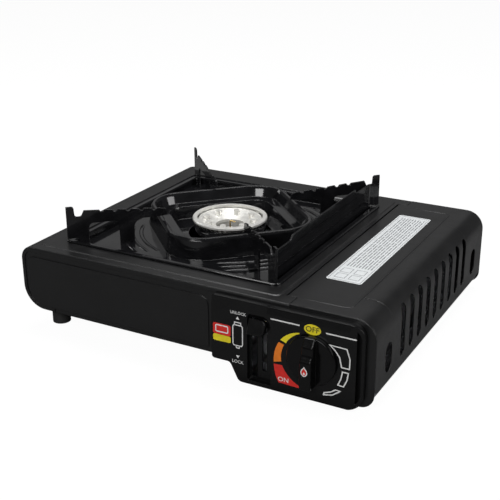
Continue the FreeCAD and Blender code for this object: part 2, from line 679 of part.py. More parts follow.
def lever_bracket():
    """U bracket on the pan that carries the lever's pivot pin."""
    left = lever_slots()[0][0] - 1.8 - FIT
    crown = LEVER_Z + 8
    cheeks = []
    for x in (left - 1.5, DIVIDER_X + 5.2):
        corners = [
            (LEVER_Y - 9, PAN_TOP, 0), (LEVER_Y + 9, PAN_TOP, 0),
            (LEVER_Y + 6, crown, 5), (LEVER_Y - 6, crown, 5)]
        cheeks.append(prism(corners, sideways(x), (1.5, 0, 0)))
    floor_left = STEP_X + STEP_WIDTH + 3
    base = box(floor_left, LEVER_Y - 9, PAN_TOP, DIVIDER_X + 6.7, LEVER_Y + 9, PAN_TOP + 1.5)
    bore = rod((LEFT, LEVER_Y, LEVER_Z), (RIGHT, LEVER_Y, LEVER_Z), 2)
    return fuse(cheeks + [base]).cut(bore)


def lever_pin():
    left = lever_slots()[0][0] - 1.8 - FIT - 2.5
    return rod((left, LEVER_Y, LEVER_Z), (DIVIDER_X + 7.7, LEVER_Y, LEVER_Z), 2)


# Cartridge carriage

def carriage_bar():
    """Flat bar from the lever's crank to the pusher plate."""
    x0 = DIVIDER_X + 1.6
    crank_y = LEVER_Y + CARRIAGE_TRAVEL / 2
    crank_z = LEVER_Z + crank_radius()
    end = pusher_y()
    bar = box(x0, crank_y - 7, crank_z - 8, x0 + 1.6, end, crank_z + 3)
    eye = prism(slot(crank_y, crank_z, 2 * (2 + PIN_CLEARANCE * 2), 8.4), sideways(x0 - 1), (4, 0, 0))
    return bar.cut(eye)


def pusher_y():
    """Front face of the pusher plate with the lever unlocked."""
    return regulator_mouth() + CAN_LENGTH + CARRIAGE_TRAVEL


def regulator_mouth():
    return REGULATOR_REAR + 9.0


def pusher_plate():
    """Folded plate that pushes the cartridge's base, with a foot that slides on the bay floor."""
    y = pusher_y()
    x0 = DIVIDER_X + 1.6
    top = CAN_Z + 0.55 * CAN_RADIUS
    floor = PAN_TOP + 0.3
    corners = [
        (x0, floor, 0), (CAN_X + 24, floor, 4), (CAN_X + 24, CAN_Z, 10), (CAN_X + 12, top, 10),
        (CAN_X - 12, top, 10), (x0, CAN_Z + 10, 4)]
    plate = prism(corners, upright(y), (0, 1.2, 0))
    shoe = box(x0 + 6, y - 14, floor, CAN_X + 20, y + 1, floor + 1.2)
    stub = rod((CAN_X, y + 1, CAN_Z), (CAN_X, y + 7, CAN_Z), SPRING_RADIUS - SPRING_WIRE - 0.5)
    return fuse([plate, shoe, stub])


def spring_post():
    """Stub on a foot plate that holds the spring's far end on the rear panel."""
    face = BACK_PANEL_FRONT
    base = rod((CAN_X, face, CAN_Z), (CAN_X, face - 1.5, CAN_Z), 9)
    stub = rod((CAN_X, face - 1, CAN_Z), (CAN_X, face - 7, CAN_Z), SPRING_RADIUS - SPRING_WIRE - 0.5)
    return fuse([base, stub])


def helix_point(turn, start, pitch, radius):
    angle = 2 * math.pi * turn
    return Vector(CAN_X + radius * math.cos(angle), start + pitch * turn, CAN_Z + radius * math.sin(angle))


def helix_tangent(turn, pitch, radius):
    angle = 2 * math.pi * turn
    rate = 2 * math.pi * radius
    return Vector(-rate * math.sin(angle), pitch, rate * math.cos(angle)).normalize()


def biarc(start, start_way, end, end_way):
    """Two tangent arcs from one point and direction to another."""
    span = end - start
    ways = start_way + end_way
    bend = 2 * (1 - start_way.dot(end_way))
    reach = (-span.dot(ways) + math.sqrt(span.dot(ways) ** 2 + bend * span.dot(span))) / bend
    first = start + start_way * reach
    second = end - end_way * reach
    joint = (first + second) * 0.5
    edges = []
    for a, corner, b in ((start, first, joint), (joint, second, end)):
        weight = (b - a).Length / 2 / reach
        middle = (a + corner * (2 * weight) + b) * (1 / (2 + 2 * weight))
        edges.append(Part.Arc(a, middle, b).toShape())
    return edges


def return_spring():
    """Wound spring that draws the carriage back, one unbroken wire."""
    wire = SPRING_WIRE / 2
    radius = SPRING_RADIUS - wire
    start = pusher_y() + 1.2 + wire + 0.05
    length = BACK_PANEL_FRONT - 1.5 - wire - 0.05 - start
    pitch = length / SPRING_LOOPS
    edges = []
    for i in range(2 * SPRING_LOOPS):
        a, b = i / 2, (i + 1) / 2
        edges += biarc(
            helix_point(a, start, pitch, radius), helix_tangent(a, pitch, radius),
            helix_point(b, start, pitch, radius), helix_tangent(b, pitch, radius))
    first, way = helix_point(0, start, pitch, radius), helix_tangent(0, pitch, radius)
    profile = section(first, way, wire, 5)
    near = min(
        (helix_point(0, start, pitch, radius) - helix_point(0.5 + k / 24, start, pitch, radius)).Length
        for k in range(36))
    print("return_spring least gap to itself", round(near - SPRING_WIRE, 2))
    return Part.Wire(edges).makePipeShell([profile], True, False)


def cartridge_rails():
    """Two folded rails that cradle the cartridge."""
    rails = []
    start = regulator_mouth() + 10
    end = pusher_y() - 14 - CARRIAGE_TRAVEL - 1
    pan_flat_end = RIGHT - SHEET - 1 - (BAY_CORNER_RADIUS - 2)
    spread = min(18, pan_flat_end - 6.5 - CAN_X)
    for side in (-1, 1):
        offset = spread * side
        top = CAN_Z - math.sqrt((CAN_RADIUS + 0.3) ** 2 - spread ** 2)
        x = CAN_X + offset
        path = [(x + 6.5 * side, PAN_TOP, 0), (x, PAN_TOP, 1.2), (x, top, 0)]
        corners = bent_sheet(path, -SHEET * side)
        rails.append(prism(corners, upright(start), (0, end - start, 0)))
    return Part.makeCompound(rails)


# Regulator, valve and igniter

def outlet_end():
    """Open end of the gas outlet, with room for the pipe to bend beside the lever's bracket."""
    return max(KNOB_X - 22, DIVIDER_X + PIPE_RADIUS + 12.9)


def regulator_body():
    """Die-cast block behind the knob with a round valve nose and a diaphragm seat."""
    y0, y1 = PANEL_REAR, REGULATOR_REAR
    block_outline = rectangle(KNOB_X - 17, KNOB_Z - 15, KNOB_X + 17, KNOB_Z + 14, 3)
    flange_outline = rectangle(KNOB_X - 24, KNOB_Z - 10, KNOB_X + 24, KNOB_Z + 10, 4)
    block = prism(block_outline, upright(y0 + 3), (0, y1 - y0 - 3, 0), True)
    flange = prism(flange_outline, upright(y0), (0, 4, 0), True)
    nose = rod((CAN_X, y1 - 1, CAN_Z), (CAN_X, y1 + 4, CAN_Z), 12.5)
    outlet = rod((KNOB_X - 16, y0 + 18, KNOB_Z - 8), (outlet_end(), y0 + 18, KNOB_Z - 8), 5)
    bore = rod((KNOB_X, y0 - 1, KNOB_Z), (KNOB_X, y0 + 16, KNOB_Z), STEM_RADIUS + PIN_CLEARANCE)
    return fuse([block, flange, nose, outlet]).cut(bore)


def regulator_cap():
    """Pressed diaphragm housing on top of the regulator."""
    x, y, z = KNOB_X, PANEL_REAR + 16.5, KNOB_Z + 14
    profile = [(0, z, 0), (15.5, z, 0), (15.5, z + 3, 0), (9, z + 7, 0), (0, z + 7, 0)]
    return spin(profile, x, y)


def inlet_nozzle():
    """Brass seat that the cartridge's valve presses into."""
    y = REGULATOR_REAR + 4
    ring = rod((CAN_X, y, CAN_Z), (CAN_X, y + 4, CAN_Z), 8)
    return ring.cut(rod((CAN_X, y + 1.5, CAN_Z), (CAN_X, y + 5, CAN_Z), 5.2))


def inlet_seal():
    y = REGULATOR_REAR + 5.5
    ring = rod((CAN_X, y, CAN_Z), (CAN_X, y + 2, CAN_Z), 5.2)
    return ring.cut(rod((CAN_X, y - 1, CAN_Z), (CAN_X, y + 3, CAN_Z), 2))


def locating_pin():
    """Pin above the nozzle that finds the notch in the cartridge's collar."""
    z = CAN_Z + 10.4
    return rod((CAN_X, REGULATOR_REAR + 4, z), (CAN_X, REGULATOR_REAR + 9, z), 1.6)


def mixer_point(along, z):
    turn = math.radians(MIXER_ANGLE)
    return (TRAY_X + along * math.cos(turn), TRAY_Y + along * math.sin(turn), z)


def mixer_height():
    return LEFT_PAN_TOP + 22.0


def gas_pipe():
    outlet_y, z = PANEL_REAR + 18, KNOB_Z - 8
    lane_x = outlet_end() - 5.15
    back_y = LEVER_Y + 19
    points = [
        (outlet_end(), outlet_y, z), (lane_x, outlet_y, z), (lane_x, back_y, z - 4),
        (DIVIDER_X - 14.8, back_y, z - 3), mixer_point(burner_reach() + 30, mixer_height()),
        mixer_point(burner_reach() + 15, mixer_height())]
    return tube(points, PIPE_RADIUS, 4.5, 6)


def burner_reach():
    """Distance from the burner's axis to the open end of the mixing tube."""
    return 29.0 + MIXER_LENGTH


def gas_jet():
    """Brass jet on the pipe's end, pointing into the mixing tube."""
    z = mixer_height()
    body = rod(mixer_point(burner_reach() + 15, z), mixer_point(burner_reach() + 5, z), 5)
    tip = rod(mixer_point(burner_reach() + 6, z), mixer_point(burner_reach() - 1, z), 2.4)
    return fuse([body, tip])


def jet_holder():
    """Bracket on the pan that carries the jet in line with the mixing tube."""
    z = mixer_height()
    turn = math.radians(MIXER_ANGLE)
    plate = Part.makeBox(1.5, 22, z + 8 - LEFT_PAN_TOP, Vector(0, -11, LEFT_PAN_TOP))
    foot_plate = Part.makeBox(10, 22, 1.5, Vector(0, -11, LEFT_PAN_TOP))
    holder = fuse([plate, foot_plate])
    holder.rotate(Vector(0, 0, 0), Vector(0, 0, 1), math.degrees(turn))
    x, y, _ = mixer_point(burner_reach() + 8, z)
    holder.translate(Vector(x, y, 0))
    return holder.cut(rod(mixer_point(burner_reach() + 20, z), mixer_point(burner_reach() + 2, z), 5))


def piezo_igniter():
    """Click igniter beside the valve, worked by the knob's cam."""
    x = KNOB_X - 21
    y = PANEL_REAR
    case = prism(rectangle(x - 7, KNOB_Z + 14, x + 4, KNOB_Z + 27, 2), upright(y), (0, 24, 0))
    nose = rod((x - 1.5, y + 23, KNOB_Z + 21), (x - 1.5, y + 30, KNOB_Z + 21), 4)
    return fuse([case, nose])


def igniter_lead():
    """Insulated wire from the igniter to the electrode."""
    x = KNOB_X - 22.5
    low = LEFT_PAN_TOP + 4
    points = [
        (x, PANEL_REAR + 30, KNOB_Z + 21), (x, PANEL_REAR + 44, KNOB_Z + 21),
        (DIVIDER_X - 18, FRONT + 50, KNOB_Z + 20), (TRAY_X + 62, FRONT + 42, KNOB_Z + 6),
        (TRAY_X + 10, TRAY_Y - 62, low), (TRAY_X, TRAY_Y - 34, low), (TRAY_X, TRAY_Y - 4.6, low)]
    return tube(points, 1.2, 6, 6)


# Burner

def burner_bracket():
    """Pressed stool that carries the burner on the pan."""
    z = mixer_height() - MIXER_RADIUS - 1
    path = [
        (-42, LEFT_PAN_TOP, 0), (-33, LEFT_PAN_TOP, 2), (-31, z - SHEET, 2), (31, z - SHEET, 2),
        (33, LEFT_PAN_TOP, 2), (42, LEFT_PAN_TOP, 0)]
    stool = prism(bent_sheet(path, SHEET), upright(-16), (0, 32, 0))
    stool.translate(Vector(TRAY_X, TRAY_Y, 0))
    return stool.cut(rod((TRAY_X, TRAY_Y, z - 4), (TRAY_X, TRAY_Y, z + 4), BURNER_THROAT - 3))


def burner_base():
    """Cast ring chamber under the burner."""
    low = mixer_height() - MIXER_RADIUS - 1
    top = BURNER_Z - 11
    profile = [
        (BURNER_THROAT + 1.5, low, 0), (30, low, 0), (30, top - 12, 0), (BURNER_RADIUS - 2.4, top - 12, 0),
        (BURNER_RADIUS - 2.4, top, 0), (BURNER_THROAT + 1.5, top, 0)]
    return spin(profile, TRAY_X, TRAY_Y)


def mixing_tube():
    """Mixing tube with a collar round its air inlet."""
    z = mixer_height()
    turn = math.radians(MIXER_ANGLE)
    way = Vector(math.cos(turn), math.sin(turn), 0)
    start = Vector(*mixer_point(29.0, z))
    length = MIXER_LENGTH
    outer = Part.makeCylinder(MIXER_RADIUS, length, start, way)
    bell = Part.makeCylinder(MIXER_RADIUS + 2.4, 5, start + way * (length - 5), way)
    inner = Part.makeCylinder(MIXER_RADIUS - 1.2, length, start + way * 3, way)
    trim = rod((TRAY_X, TRAY_Y, z - 20), (TRAY_X, TRAY_Y, z + 20), 30)
    return outer.fuse(bell).removeSplitter().cut(inner).cut(trim)


def burner_pot():
    """Polished cylinder round the burner, with a lip under the row of flame teeth."""
    low = BURNER_Z - 27
    top = BURNER_Z - 6
    r = BURNER_RADIUS - 1.6
    lip = BURNER_RADIUS - 1.0
    return spin([
        (r - 0.8, low, 0), (r, low, 0), (r, top, 0), (lip, top, 0), (lip, top + 1.1, 0),
        (r - 0.8, top + 1.1, 0)], TRAY_X, TRAY_Y)


def burner_head():
    """Flame ring: flat rim, conical bowl with a throat, upright ports and teeth underneath."""
    top = BURNER_Z
    r = BURNER_RADIUS
    rim = r - BURNER_RIM
    throat_z = top - 11
    bowl = spin([
        (BURNER_THROAT, throat_z, 0), (BURNER_THROAT + 6, throat_z, 0), (BURNER_THROAT + 6, top - 8, 0),
        (r - 5.5, top - 8, 0), (r - 5.5, top - 2.4, 0), (r, top - 2.4, 0), (r, top, 0.8), (rim, top, 0),
        (rim, top - 2.6, 0), (BURNER_THROAT, throat_z + 2.5, 0)], TRAY_X, TRAY_Y)
    pieces = [bowl]
    for i in range(PORT_COUNT):
        turn = math.radians(PORT_PHASE + 360 * i / PORT_COUNT)
        x, y = TRAY_X + PORT_CIRCLE * math.cos(turn), TRAY_Y + PORT_CIRCLE * math.sin(turn)
        port = Part.Face(section(Vector(x, y, throat_z + 3), Vector(0, 0, 1), PORT_RADIUS, 10))
        pieces.append(port.extrude(Vector(0, 0, top - 1.6 - throat_z - 3)))
    return fuse(pieces)


def burner_teeth():
    """Crown of flame slots between the head and the ring."""
    z = BURNER_Z - 4.9
    r = BURNER_RADIUS - 3.2
    crown = spin([(r - 2.2, z, 0), (r, z, 0), (r, z + 2.5, 0), (r - 2.2, z + 2.5, 0)], TRAY_X, TRAY_Y)
    slots = []
    for i in range(TOOTH_COUNT):
        slit = Part.makeBox(4, 8.0, 4, Vector(r - 1.3, -4.0, z + 0.6))
        slit.rotate(Vector(0, 0, 0), Vector(0, 0, 1), 360 * i / TOOTH_COUNT)
        slit.translate(Vector(TRAY_X, TRAY_Y, 0))
        slots.append(slit)
    return cut(crown, slots)


def electrode():
    """Ceramic of the ignition electrode, standing in the burner's throat."""
    z = mixer_height() - MIXER_RADIUS - 1 - SHEET
    base = LEFT_PAN_TOP
    top = BURNER_Z - 12
    profile = [(0, base, 0), (4.5, base, 0), (4.5, z + 6, 0), (3, z + 6, 0), (3, top, 0), (0, top, 0)]
    return spin(profile, TRAY_X, TRAY_Y)


def electrode_tip():
    """Spark wire bent from the ceramic towards a port."""
    z = BURNER_Z - 12
    points = [(TRAY_X, TRAY_Y, z), (TRAY_X, TRAY_Y, z + 7), (TRAY_X + 7, TRAY_Y - 3, z + 8)]
    return tube(points, 0.8, 2, 6)


# Drip tray and pan supports

def tray_rim_outline(offset, z):
    """Tray outline; a positive offset is outwards."""
    half_x, half_y = TRAY_WIDTH / 2 + offset, TRAY_DEPTH / 2 + offset
    radius = max(TRAY_CORNER + 1 + offset, 1.4)
    corners = rectangle(TRAY_X - half_x, TRAY_Y - half_y, TRAY_X + half_x, TRAY_Y + half_y, radius)
    return rounded_loop(corners, level(z))


def collar_outline(offset, z):
    """Square turned by 45 degrees with wide round corners."""
    half = COLLAR_HALF + offset
    corners = rectangle(-half, -half, half, half, max(COLLAR_CORNER + offset, 2))
    loop = rounded_loop(corners, level(z))
    loop.rotate(Vector(0, 0, 0), Vector(0, 0, 1), 45)
    loop.translate(Vector(TRAY_X, TRAY_Y, 0))
    return loop


def flat_ring(outer, inner, thickness):
    return Part.makeFace([outer, inner], "Part::FaceMakerBullseye").extrude(Vector(0, 0, thickness))


def drip_tray():
    """Pressed tray: rolled rim, sunk corners, raised collar and a stepped well round the burner."""
    t = TRAY_SHEET
    rest, floor, crest = TRAY_REST_Z, TRAY_FLOOR_Z, COLLAR_Z
    wall = TRAY_LAP + 1.0
    rim = ring_loft([
        (-wall - 2, floor), (-wall - 2, floor - t), (-wall - 0.6, floor - t), (-wall + 0.4, rest + 0.05),
        (0, rest + 0.05), (0, rest + 1.4), (-1.2, rest + 1.9), (-2.6, rest + t),
        (-wall + 0.6, rest + t), (-wall - 0.4, rest - 0.4), (-wall - 1.4, floor)], tray_rim_outline)
    foot_in = 5.0
    collar = ring_loft([
        (foot_in + 2, floor - t), (foot_in + 2, floor), (foot_in, floor),
        (2.6, crest - 2.6), (1.2, crest - 0.4),
        (-1.0, crest - 0.4), (-2.8, crest - 2.6), (-6, crest - LEDGE_DROP), (-15, crest - LEDGE_DROP - 0.6),
        (-18.5, crest - WELL_DROP), (-21, crest - WELL_DROP), (-21, crest - WELL_DROP - t),
        (-17.9, crest - WELL_DROP - t), (-14.4, crest - LEDGE_DROP - 0.6 - t), (-5.4, crest - LEDGE_DROP - t),
        (0, crest - 1.4), (foot_in - 0.8, floor - t)], collar_outline)
    floor_ring = flat_ring(
        tray_rim_outline(-wall - 1, floor - t), collar_outline(foot_in + 1, floor - t), t)
    hole = Part.Wire(Part.makeCircle(
        BURNER_RADIUS + TRAY_HOLE_GAP, Vector(TRAY_X, TRAY_Y, crest - WELL_DROP - t), Vector(0, 0, 1)))
    well_floor = flat_ring(collar_outline(-20, crest - WELL_DROP - t), hole, t)
    return fuse([rim, collar, floor_ring, well_floor])


def arm_profile():
    """Side view of a pan support: spike, notch, flat, scallops, nose, window and two legs."""
    pan, spike = DECK_Z + PAN_RISE, DECK_Z + SPIKE_RISE
    under = pan - 12.5
    foot_z = TRAY_FLOOR_Z
    over_rim = TRAY_REST_Z + 2.4

    def top(s):
        return pan - PAN_SLOPE * (s - 17)

    notch = pan - 5.4
    corners = [
        (11.4, foot_z, 0), (11.4, over_rim, 1), (1, over_rim, 0), (1, spike, 0), (8, spike, 2.4),
        (8.6, notch, 2.6), (14.4, notch, 2.6), (17, top(17), 0)]
    pitch = 12.0
    for i in range(5):
        s = 31.0 + pitch * i
        corners += [(s, top(s), 0), (s + 1.4, top(s) - 2, 0), (s + 3.2, top(s) - 2, 0), (s + 4.8, top(s), 0)]
    corners += [
        (ARM_LENGTH - 4, top(ARM_LENGTH) - 0.5, 2), (ARM_LENGTH - 2.5, under + 1, 0),
        (ARM_LENGTH - 10, under, 0),
        (62, under, 9), (62, foot_z, 0), (48.5, foot_z, 0), (48.5, under, 4), (21, under, 4), (21, foot_z, 0)]
    return corners


def arm_place(side_x, side_y):
    """Position of an arm that runs in diagonally from one corner of the tray."""
    x = TRAY_X + side_x * (TRAY_WIDTH / 2 - ARM_INSET)
    y = TRAY_Y + side_y * (TRAY_DEPTH / 2 - ARM_INSET)
    heading = math.degrees(math.atan2(-side_y, -side_x))
    return FreeCAD.Placement(Vector(x, y, 0), FreeCAD.Rotation(Vector(0, 0, 1), heading))


def support_arm(side_x, side_y):
    """Upright sheet arm running in from one corner of the tray, with a bent foot."""
    plate = prism(arm_profile(), upright(-ARM_SHEET / 2), (0, ARM_SHEET, 0))
    corners = rectangle(50, ARM_SHEET / 2 - 0.1, 61, ARM_SHEET / 2 + 8, 0)
    arm = fuse([plate, prism(corners, level(TRAY_FLOOR_Z), (0, 0, ARM_SHEET))])
    arm.Placement = arm_place(side_x, side_y)
    return arm


def wind_shield():
    """Upright sheet along the cartridge side, its ends turned in to the arms."""
    x = TRAY_X + TRAY_WIDTH / 2 - SHIELD_INSET
    thick = ARM_SHEET / 2
    off_arm = (ARM_SHEET / 2 + thick + 0.1) * math.sqrt(2)
    half = TRAY_DEPTH / 2 - ARM_INSET - (SHIELD_INSET - ARM_INSET) - off_arm
    path = [
        (x + 4.4, TRAY_Y - half - 4.4, 0), (x, TRAY_Y - half, 4), (x, TRAY_Y + half, 4),
        (x + 4.4, TRAY_Y + half + 4.4, 0)]
    low, top = TRAY_FLOOR_Z, DECK_Z + SHIELD_RISE
    sheet = prism(bent_sheet(path, thick), level(low), (0, 0, top - low))
    ends = []
    for side in (-1, 1):
        y = TRAY_Y + side * 67
        far = TRAY_Y + side * TRAY_DEPTH
        corners = [
            (y, top + 2, 0), (y, top, 0), (y + side * 3, top - 4, 3), (far, top - 4, 0), (far, top + 2, 0)]
        ends.append(prism(corners, sideways(x - 20), (30, 0, 0)))
        over_rim = TRAY_REST_Z + 2.4
        for left, start in ((x + 1.1, half - 3), (x - 2, half + 2.2)):
            y0, y1 = sorted((TRAY_Y + side * start, far))
            ends.append(box(left, y0, low - 1, x + 10, y1, over_rim))
    return cut(sheet, ends)


def main():
    os.makedirs("parts", exist_ok=True)
    feet = {}
    for name, (x, y, top) in foot_places().items():
        feet[name] = foot(x, y, top)
    arms = {}
    for name_x, side_x in (("left", -1), ("right", 1)):
        for name_y, side_y in (("front", -1), ("rear", 1)):
            arms["support_arm_" + name_x + "_" + name_y] = support_arm(side_x, side_y)
    nodes = {
        "top_deck": top_deck(),
        "front_panel": front_panel(),
        "rear_panel": rear_panel(),
        "base_pan": base_pan(),
        "rear_screws": rear_screws(),
        "bay_divider": bay_divider(),
        "cartridge_cover": cartridge_cover(),
        "cover_hinge_pins": cover_hinge_pins(),
        "control_bezel": control_bezel(),
        "gas_knob": gas_knob(),
        "valve_stem": valve_stem(),
        "lock_lever": lock_lever(),
        "lever_tab": lever_tab(),
        "lever_bracket": lever_bracket(),
        "lever_pin": lever_pin(),
        "carriage_bar": carriage_bar(),
        "pusher_plate": pusher_plate(),
        "return_spring": return_spring(),
        "spring_post": spring_post(),
        "cartridge_rails": cartridge_rails(),
        "regulator_body": regulator_body(),
        "regulator_cap": regulator_cap(),
        "inlet_nozzle": inlet_nozzle(),
        "inlet_seal": inlet_seal(),
        "locating_pin": locating_pin(),
        "gas_pipe": gas_pipe(),
        "gas_jet": gas_jet(),
        "jet_holder": jet_holder(),
        "piezo_igniter": piezo_igniter(),
        "igniter_lead": igniter_lead(),
        "burner_bracket": burner_bracket(),
        "burner_base": burner_base(),
        "mixing_tube": mixing_tube(),
        "burner_pot": burner_pot(),
        "burner_teeth": burner_teeth(),
        "burner_head": burner_head(),
        "electrode": electrode(),
        "electrode_tip": electrode_tip(),
        "drip_tray": drip_tray(),
        "wind_shield": wind_shield(),
        **feet,
        **arms,
    }
    for name, shape in nodes.items():
        shape.exportStep(os.path.join("parts", name + ".step"))


main()
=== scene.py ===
import math

import bmesh
import bpy
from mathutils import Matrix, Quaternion, Vector


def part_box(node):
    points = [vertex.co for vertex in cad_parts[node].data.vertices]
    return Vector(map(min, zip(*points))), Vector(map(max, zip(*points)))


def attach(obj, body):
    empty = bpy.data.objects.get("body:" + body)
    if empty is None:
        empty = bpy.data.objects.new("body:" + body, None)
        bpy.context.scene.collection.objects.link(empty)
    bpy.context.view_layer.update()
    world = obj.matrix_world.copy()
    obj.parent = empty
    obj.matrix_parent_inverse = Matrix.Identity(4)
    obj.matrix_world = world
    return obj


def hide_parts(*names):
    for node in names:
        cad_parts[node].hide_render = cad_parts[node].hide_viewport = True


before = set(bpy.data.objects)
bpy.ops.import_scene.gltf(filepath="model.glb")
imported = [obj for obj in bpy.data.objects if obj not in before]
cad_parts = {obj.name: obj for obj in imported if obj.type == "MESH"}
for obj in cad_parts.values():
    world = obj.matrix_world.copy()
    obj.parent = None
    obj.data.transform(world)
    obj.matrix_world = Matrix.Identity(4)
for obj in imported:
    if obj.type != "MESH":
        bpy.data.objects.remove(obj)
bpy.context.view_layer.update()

# The frame is in metres, with +X to the cartridge side, -Y to the front and +Z up.
# Materials, camera and lamps are in metres too; drawn shapes are in millimetres, scaled by MM.
MM = 0.001
CHASSIS = "chassis"
KNOB = "gas_knob"
COVER = "cartridge_cover"
SUPPORT = "pan_support"

scene = bpy.context.scene
scene.view_settings.view_transform = "Standard"


# Places read from the frame

def box_mm(node):
    """Low and high corners of a node's box."""
    low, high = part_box(node)
    return Vector(low) / MM, Vector(high) / MM


# Height of pressed relief above the sheet it is pressed from.
EMBOSS = 0.6
# Thickness of one layer of print.
PRINT = 0.06

knob_low, knob_high = box_mm("gas_knob")
ring_low, ring_high = box_mm("burner_head")
teeth_low, teeth_high = box_mm("burner_teeth")

PANEL_Y = box_mm("control_bezel")[0].y
KNOB_RADIUS = (knob_high.x - knob_low.x) / 2
KNOB_CENTRE = (knob_high.x - KNOB_RADIUS, knob_high.z - KNOB_RADIUS)
TRAY_CENTRE = ((ring_low.x + ring_high.x) / 2, (ring_low.y + ring_high.y) / 2)
TRAY_FLOOR = box_mm("wind_shield")[0].z
COVER_TOP = box_mm("cartridge_cover")[1].z - EMBOSS


# Camera

CAMERA_AT = Vector((0.4059, -0.7545, 0.4027))
CAMERA_YAW = 28.659
CAMERA_PITCH = 21.758
CAMERA_ROLL = -0.264
CAMERA_NEAR = 0.01
CAMERA_FAR = 20
LENS_PIXELS = 987.4
FRAME_PIXELS = 500.0
SENSOR = 36.0


def make_camera():
    """Camera at the photograph's viewing angle."""
    data = bpy.data.cameras.new("camera")
    data.sensor_width = SENSOR
    data.lens = SENSOR * LENS_PIXELS / FRAME_PIXELS
    data.clip_start = CAMERA_NEAR
    data.clip_end = CAMERA_FAR
    camera = bpy.data.objects.new("camera", data)
    scene.collection.objects.link(camera)
    yaw = math.radians(CAMERA_YAW)
    pitch = math.radians(CAMERA_PITCH)
    roll = Quaternion((0, 0, 1), math.radians(CAMERA_ROLL))
    ahead = Vector((-math.sin(yaw) * math.cos(pitch), math.cos(yaw) * math.cos(pitch), -math.sin(pitch)))
    camera.location = CAMERA_AT
    camera.rotation_mode = "QUATERNION"
    camera.rotation_quaternion = ahead.to_track_quat("-Z", "Y") @ roll
    scene.camera = camera


# Node helpers

SHADER_INPUTS = {
    "rough": "Roughness",
    "metal": "Metallic",
    "specular": "Specular IOR Level",
    "coat": "Coat Weight",
    "coat_rough": "Coat Roughness",
}
# Most of a noise pattern's values lie between these two.
NOISE_LOW = 0.35
NOISE_HIGH = 0.65
# Sockets of the colour form of the Mix node.
MIX_FACTOR = 0
MIX_FIRST = 6
MIX_SECOND = 7
MIX_RESULT = 2
BEVEL_SAMPLES = 6
EVEN = (1, 1, 1)


class Nodes:
    """Short way to lay out a material's nodes."""

    def __init__(self, name):
        self.material = bpy.data.materials.new(name)
        self.material.use_nodes = True
        self.tree = self.material.node_tree
        self.shader = self.tree.nodes["Principled BSDF"]
        self.output = self.tree.nodes["Material Output"]

    def add(self, kind, **values):
        """A new node; each value goes to the input of its name, or else to the node itself."""
        node = self.tree.nodes.new(kind)
        for key, value in values.items():
            if key in node.inputs:
                node.inputs[key].default_value = value
            else:
                setattr(node, key, value)
        return node

    def link(self, source, target):
        self.tree.links.new(source, target)

    def set(self, **values):
        for key, value in values.items():
            self.shader.inputs[SHADER_INPUTS[key]].default_value = value

    def noise(self, size, detail, rough=0.55, stretch=EVEN):
        """Noise in the piece's own coordinates, with grains of about a size in metres."""
        node = self.add("ShaderNodeTexNoise", Scale=1 / size, Detail=detail, Roughness=rough)
        place = self.add("ShaderNodeTexCoord")
        mapping = self.add("ShaderNodeMapping", Scale=stretch)
        self.link(place.outputs["Object"], mapping.inputs["Vector"])
        self.link(mapping.outputs["Vector"], node.inputs["Vector"])
        return node.outputs["Fac"]

    def ramp(self, source, low, high):
        """The noise spread out between two values."""
        node = self.add("ShaderNodeMapRange")
        ends = {"From Min": NOISE_LOW, "From Max": NOISE_HIGH, "To Min": low, "To Max": high}
        for key, value in ends.items():
            node.inputs[key].default_value = value
        self.link(source, node.inputs["Value"])
        return node.outputs["Result"]

    def blend(self, factor, first, second):
        """Mix of two colours."""
        node = self.add("ShaderNodeMix", data_type="RGBA")
        node.inputs[MIX_FIRST].default_value = (*first, 1)
        node.inputs[MIX_SECOND].default_value = (*second, 1)
        self.link(factor, node.inputs[MIX_FACTOR])
        return node.outputs[MIX_RESULT]

    def tone(self, grain, first, second):
        """Base colour that wanders between two tones."""
        self.link(self.blend(self.ramp(grain, 0, 1), first, second), self.shader.inputs["Base Color"])

    def gloss(self, grain, low, high):
        """Roughness that wanders between two values."""
        self.link(self.ramp(grain, low, high), self.shader.inputs["Roughness"])

    def bump(self, grain, strength, depth, edge=0.0):
        """Fine relief, over edges softened by a radius in metres."""
        node = self.add("ShaderNodeBump", Strength=strength, Distance=depth)
        self.link(grain, node.inputs["Height"])
        if edge:
            soft = self.add("ShaderNodeBevel", samples=BEVEL_SAMPLES, Radius=edge)
            self.link(soft.outputs["Normal"], node.inputs["Normal"])
        self.link(node.outputs["Normal"], self.shader.inputs["Normal"])


def times(color, factor):
    return tuple(part * factor for part in color)


# Materials

def black_paint(name, color, rough, grain, strength):
    """Baked black paint: fine orange peel, slight mottling of tone and gloss."""
    n = Nodes(name)
    n.tone(n.noise(size=0.03, detail=3), color, times(color, 1.25))
    n.gloss(n.noise(size=0.02, detail=5), rough * 0.9, rough * 1.12)
    n.bump(n.noise(size=grain, detail=3), strength, depth=0.00008, edge=0.0008)
    return n.material


def enamel(name, dark, light):
    """Fired vitreous enamel: deep gloss over a slightly wavy ground."""
    n = Nodes(name)
    n.set(specular=0.42, coat=0.12, coat_rough=0.03)
    n.tone(n.noise(size=0.015, detail=4), dark, light)
    n.gloss(n.noise(size=0.02, detail=4), low=0.07, high=0.13)
    n.bump(n.noise(size=0.012, detail=2), strength=0.25, depth=0.00025, edge=0.0011)
    return n.material


def plastic(name, color, rough, specular):
    """Moulded plastic with a faint grain."""
    n = Nodes(name)
    n.set(specular=specular)
    n.tone(n.noise(size=0.01, detail=3), color, times(color, 1.3))
    n.gloss(n.noise(size=0.006, detail=5), rough * 0.9, rough * 1.15)
    n.bump(n.noise(size=0.0006, detail=2), strength=0.12, depth=0.00005, edge=0.0007)
    return n.material


